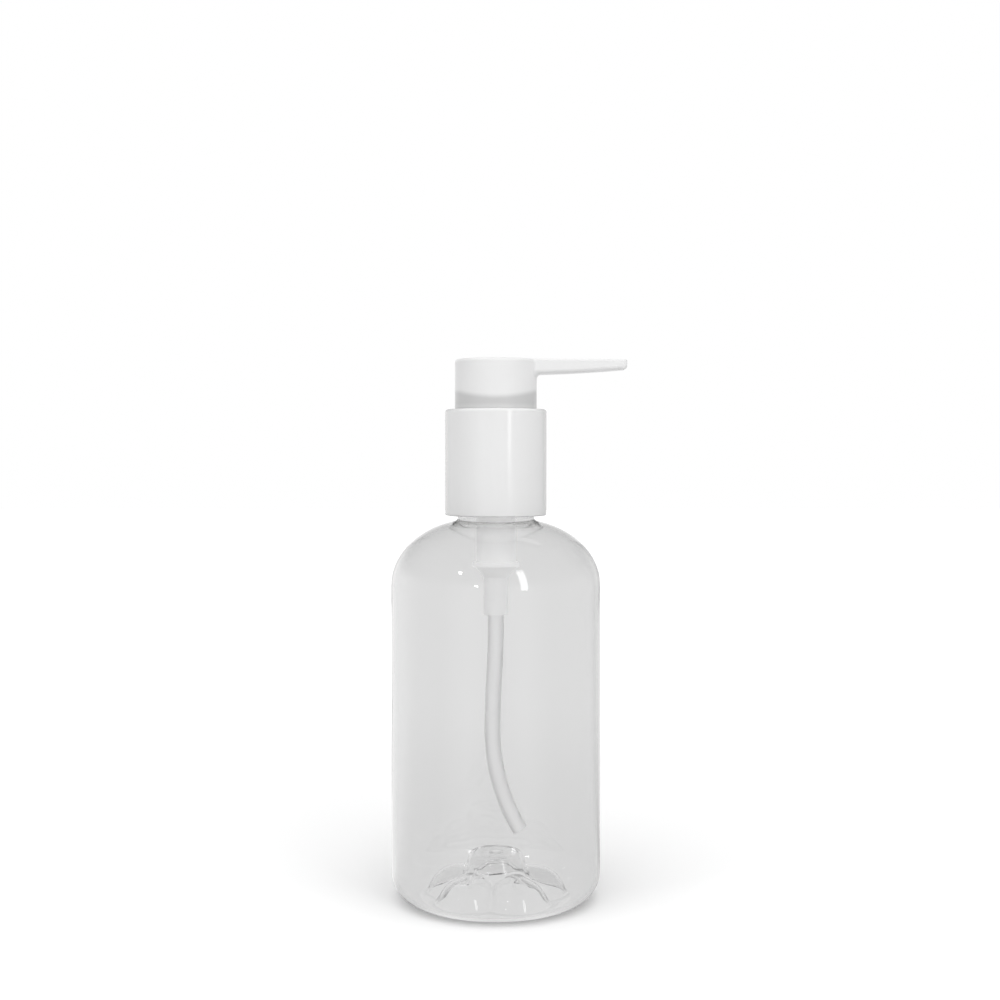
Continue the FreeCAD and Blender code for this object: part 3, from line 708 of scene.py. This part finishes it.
class OILBOTTLE_OT_head(bpy.types.Operator):
    """Finish the satin pump head and its spout"""

    bl_idname = "oil_bottle.head"
    bl_label = "Pump head"

    def execute(self, context):
        dress("pump_head", satin_white())
        return {"FINISHED"}


class OILBOTTLE_OT_pump(bpy.types.Operator):
    """Finish what the collar and the bottle hide: threaded cap, housing, dip tube, seals and stem"""

    bl_idname = "oil_bottle.pump"
    bl_label = "Pump"

    def execute(self, context):
        dress("pump_housing", natural_pp())
        waxy = natural_pe()
        for node in ("dip_tube", "piston"):
            dress(node, waxy)
        plain = white_pp()
        for node in ("threaded_cap", "stem", "piston_core", "chaplet"):
            dress(node, plain)
        dress("neck_gasket", foam_pe())
        return {"FINISHED"}


def ray_level(tree, others, camera, mirrored, through, inside):
    """Socket with one level for rays from the camera, one for reflections, one for rays through clear
    plastic, one for those that light what stands inside it, and one for all others. A level is a number or
    a socket."""
    path = add_node(tree, "ShaderNodeLightPath").outputs
    past_wall = add_node(tree, "ShaderNodeMix", {
        "Factor": path["Diffuse Depth"],
        "A": through,
        "B": inside,
    }).outputs[0]
    levels = {"Is Camera Ray": camera, "Is Glossy Ray": mirrored, "Is Transmission Ray": past_wall}
    level = others
    for ray, value in levels.items():
        level = add_node(tree, "ShaderNodeMix", {"Factor": path[ray], "A": level, "B": value}).outputs[0]
    return level


def studio_sides(tree, place):
    """Level of the studio's lighter and darker sides, from the direction of a place seen from the bottle."""
    toward = add_node(tree, "ShaderNodeSeparateXYZ", {"Vector": place}).outputs
    front = add_node(tree, "ShaderNodeMath", {0: toward["Y"], 1: -1.0}, operation="MULTIPLY").outputs[0]
    side = add_node(tree, "ShaderNodeMath", {0: toward["X"], 1: front}, operation="ARCTAN2").outputs[0]
    share = add_node(tree, "ShaderNodeMapRange", {"Value": side, "From Min": -math.pi, "From Max": math.pi})
    ramp = add_node(tree, "ShaderNodeValToRGB", {"Fac": share.outputs["Result"]})
    stops = ramp.color_ramp.elements
    for degrees, _ in STUDIO_SIDES[1:-1]:
        stops.new(degrees / 360 + 0.5)
    for stop, (degrees, level) in zip(stops, STUDIO_SIDES):
        stop.color = (level, level, level, 1)
    return ramp.outputs["Color"]


def make_floor(settings):
    """A flat white floor that keeps soft shadows for the camera, with a painted glow that pales them in front
    of the bottle. Reflections see the studio's sides on it, and rays through clear plastic see an even grey
    with a painted shadow that darkens it near the bottle."""
    material, tree, place = new_finish("studio_floor")
    paleness = ray_level(tree, FLOOR_FOR_PIECES, FLOOR_FOR_CAMERA, 0, 0, 0)
    diffuse = add_node(tree, "ShaderNodeBsdfDiffuse", {"Color": paleness})
    away = add_node(tree, "ShaderNodeVectorMath", {0: place}, operation="LENGTH").outputs["Value"]
    # Painted shadow: the grey seen through clear plastic is darker near the bottle
    near = add_node(tree, "ShaderNodeMapRange", {
        "Value": away,
        "From Max": FLOOR_SHADOW_REACH,
        "To Min": FLOOR_SHADOW_SHARE * settings.through,
        "To Max": settings.through,
    }, interpolation_type="SMOOTHSTEP").outputs["Result"]
    # Painted light: glow for the camera that grows away from a place behind the bottle, making the far floor
    # white and paling the shadow in front of it
    beyond = add_node(tree, "ShaderNodeVectorMath", {0: place, 1: GLOW_CENTRE}, operation="DISTANCE")
    far = add_node(tree, "ShaderNodeMapRange", {
        "Value": beyond.outputs["Value"],
        "From Min": GLOW_START,
        "From Max": GLOW_END,
        "To Min": 0.0,
        "To Max": settings.floor_glow,
    }).outputs["Result"]
    glow = ray_level(tree, 0, far, studio_sides(tree, place), near, settings.inside)
    light = add_node(tree, "ShaderNodeEmission", {"Strength": glow})
    show(tree, add_node(tree, "ShaderNodeAddShader", {0: diffuse.outputs[0], 1: light.outputs[0]}))
    half = settings.floor_size / 2
    corners = [(-half, -half, 0), (half, -half, 0), (half, half, 0), (-half, half, 0)]
    mesh = bpy.data.meshes.new("studio_floor")
    mesh.from_pydata(corners, [], [(0, 1, 2, 3)])
    mesh.materials.append(material)
    floor = bpy.data.objects.new("studio_floor", mesh)
    bpy.context.scene.collection.objects.link(floor)


def make_background(settings):
    """White behind everything, the studio's sides under a darker ceiling for reflections, grey through clear
    plastic, and a plain ambient light for all else."""
    world = bpy.data.worlds.new("studio_white")
    world.use_nodes = True
    tree = world.node_tree
    tree.nodes.clear()
    ray = add_node(tree, "ShaderNodeTexCoord").outputs["Generated"]
    height = add_node(tree, "ShaderNodeSeparateXYZ", {"Vector": ray}).outputs["Z"]
    dim = add_node(tree, "ShaderNodeMapRange", {
        "Value": height,
        "From Min": CEILING_START,
        "From Max": CEILING_END,
        "To Min": 1.0,
        "To Max": CEILING_SHARE,
    }, interpolation_type="SMOOTHSTEP").outputs["Result"]
    mirrored = add_node(tree, "ShaderNodeMath", {0: studio_sides(tree, ray), 1: dim}, operation="MULTIPLY")
    level = ray_level(tree, settings.ambient, 1.0, mirrored.outputs[0], settings.through, settings.inside)
    sky = add_node(tree, "ShaderNodeBackground", {"Color": (1, 1, 1, 1), "Strength": level})
    add_node(tree, "ShaderNodeOutputWorld", {"Surface": sky.outputs[0]})
    bpy.context.scene.world = world


def turned_to(azimuth, elevation):
    """Direction from the bottle, in degrees from the front towards the spout and up."""
    a, e = math.radians(azimuth), math.radians(elevation)
    return Vector((math.sin(a) * math.cos(e), -math.cos(a) * math.cos(e), math.sin(e)))


def hang(data, away, distance, mirrored):
    """Puts a lamp on the stage, facing the middle of the bottle. Only a mirrored lamp shows in gloss."""
    low, high = CAD_BOX
    lamp = bpy.data.objects.new(data.name, data)
    lamp.location = Vector((0, 0, (low[2] + high[2]) / 2)) + away * distance
    lamp.rotation_euler = away.to_track_quat("Z", "Y").to_euler()
    bpy.context.scene.collection.objects.link(lamp)
    lamp.visible_camera = False
    lamp.visible_glossy = mirrored
    lamp.visible_transmission = mirrored
    return lamp


def make_lamp(name, azimuth, elevation, width, height, radiance, mirrored, distance):
    """A rectangular lamp; radiance is what a mirror of it would show."""
    data = bpy.data.lights.new(name, "AREA")
    data.shape = "RECTANGLE"
    data.size, data.size_y = width, height
    data.energy = radiance * math.pi * width * height
    return hang(data, turned_to(azimuth, elevation), distance, mirrored)


def shine_only_on(lamp, piece):
    """Keeps a lamp's light, and its reflection, on one piece."""
    lit = bpy.data.collections.new(lamp.name + "_lights")
    lit.objects.link(bpy.data.objects[piece])
    lamp.light_linking.receiver_collection = lit


def make_sun(settings):
    """A wide soft light from above, which gives the floor its short shadow."""
    data = bpy.data.lights.new("top_light", "SUN")
    data.energy = settings.top_light
    data.angle = settings.top_light_width
    hang(data, turned_to(*TOP_LIGHT_FROM), 1, False)


def make_camera(settings):
    """The camera in front, looking a little down."""
    data = bpy.data.cameras.new("photo_camera")
    data.sensor_width = 36
    data.lens = settings.focal
    data.clip_start = 0.01
    camera = bpy.data.objects.new("photo_camera", data)
    camera.location = (settings.camera_side, -settings.camera_distance, settings.camera_height)
    camera.rotation_euler = (math.pi / 2 - settings.camera_drop, 0, 0)
    bpy.context.scene.collection.objects.link(camera)
    bpy.context.scene.camera = camera


class OILBOTTLE_OT_stage(bpy.types.Operator):
    """Set up the floor, white background, lamps and camera"""

    bl_idname = "oil_bottle.stage"
    bl_label = "Studio"

    def execute(self, context):
        settings = context.scene.oil_bottle_studio
        make_floor(settings)
        make_background(settings)
        make_sun(settings)
        lamps = {name: make_lamp(name, *place) for name, place in LAMPS.items()}
        shine_only_on(lamps["left_spot_low"], "blown_bottle")
        make_camera(settings)
        context.scene.view_settings.view_transform = "Standard"
        context.scene.cycles.max_bounces = LIGHT_BOUNCES
        context.scene.cycles.transmission_bounces = LIGHT_BOUNCES
        context.scene.cycles.glossy_bounces = LIGHT_BOUNCES
        return {"FINISHED"}


class OILBOTTLE_PT_panel(bpy.types.Panel):
    """Sidebar panel that lists the steps and their settings"""

    bl_idname = "OILBOTTLE_PT_panel"
    bl_label = "Pump oil bottle"
    bl_space_type = "VIEW_3D"
    bl_region_type = "UI"
    bl_category = "Oil bottle"

    def draw(self, context):
        for operator in OPERATORS:
            self.layout.operator(operator.bl_idname)
        for name, group in GROUPS.items():
            box = self.layout.box()
            for key in group.__annotations__:
                box.prop(getattr(context.scene, name), key)


GROUPS = {
    "oil_bottle_sizes": BottleSizes,
    "oil_bottle_spring": SpringSizes,
    "oil_bottle_finishes": Finishes,
    "oil_bottle_studio": StudioSettings,
}
OPERATORS = (OILBOTTLE_OT_bottle, OILBOTTLE_OT_spring, OILBOTTLE_OT_collar, OILBOTTLE_OT_head,
             OILBOTTLE_OT_pump, OILBOTTLE_OT_stage)


def register():
    """Registers the classes and hangs the settings on the scene."""
    for made in (*GROUPS.values(), *OPERATORS, OILBOTTLE_PT_panel):
        bpy.utils.register_class(made)
    for name, group in GROUPS.items():
        setattr(bpy.types.Scene, name, PointerProperty(type=group))


def unregister():
    """Takes the settings off the scene and unregisters the classes."""
    for name in GROUPS:
        delattr(bpy.types.Scene, name)
    for made in (OILBOTTLE_PT_panel, *reversed(OPERATORS), *GROUPS.values()):
        bpy.utils.unregister_class(made)


def main():
    """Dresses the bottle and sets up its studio."""
    register()
    bpy.ops.oil_bottle.bottle()
    bpy.ops.oil_bottle.spring()
    bpy.ops.oil_bottle.collar()
    bpy.ops.oil_bottle.head()
    bpy.ops.oil_bottle.pump()
    bpy.ops.oil_bottle.stage()


if __name__ == "__main__":
    main()
